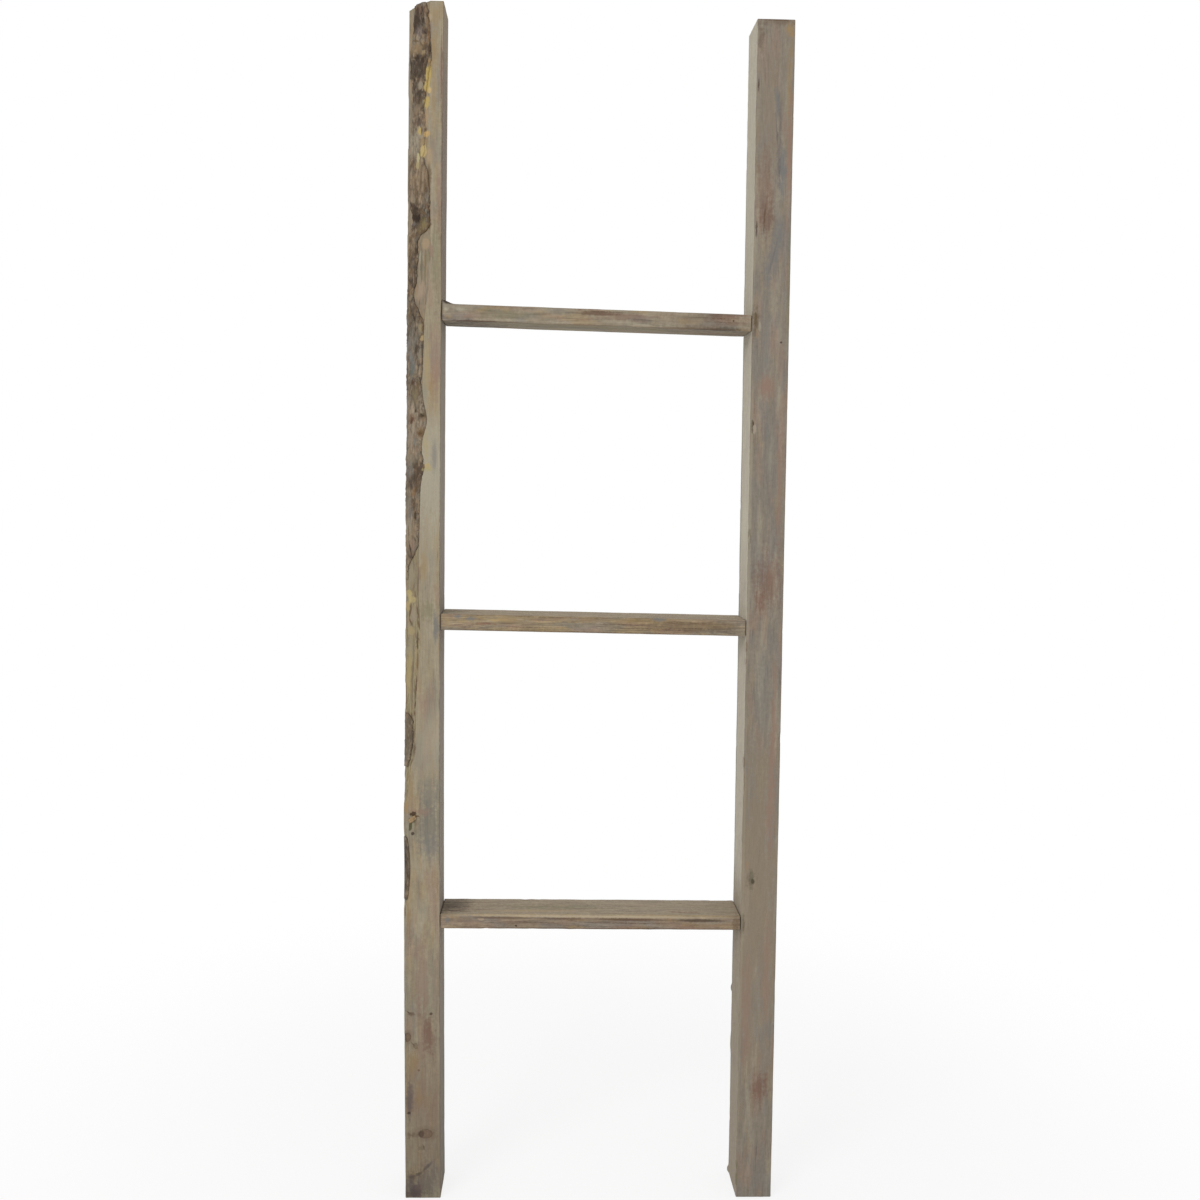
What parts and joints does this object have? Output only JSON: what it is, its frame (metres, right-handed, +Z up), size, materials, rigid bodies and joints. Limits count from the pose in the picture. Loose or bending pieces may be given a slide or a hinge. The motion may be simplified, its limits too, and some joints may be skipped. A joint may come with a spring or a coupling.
{
  "type": "decorative ladder",
  "caption": "Small rustic wooden ladder with square rails, butted rungs screwed from outside, and bark left along one rail's front edge.",
  "frame": {"origin": "on the floor, at the middle of the ladder's width and depth", "axes": "+Z up the rails, +X across the ladder towards the straight rail, -Y out of the front"},
  "size_m": [0.3908, 0.051, 1.219],
  "materials": {
    "left_rail_wood": "rough sawn, greyed with a thin wash, matt",
    "right_rail_wood": "rough sawn, greyed with a thin wash, matt",
    "top_rung_wood": "rough sawn, greyed with a thin wash, matt",
    "middle_rung_wood": "rough sawn, greyed with a thin wash, matt",
    "bottom_rung_wood": "rough sawn, greyed with a thin wash, matt",
    "bark": "rough, dry, flaking",
    "screws": "zinc plated, dulled"
  },
  "bodies": {
    "root": {"left_rail": "left_rail_wood", "right_rail": "right_rail_wood", "top_rung": "top_rung_wood", "middle_rung": "middle_rung_wood", "bottom_rung": "bottom_rung_wood", "upper_bark": "bark", "middle_bark": "bark", "lower_bark": "bark", "top_left_screws": "screws", "top_right_screws": "screws", "middle_left_screws": "screws", "middle_right_screws": "screws", "bottom_left_screws": "screws", "bottom_right_screws": "screws"}
  },
  "joints": []
}
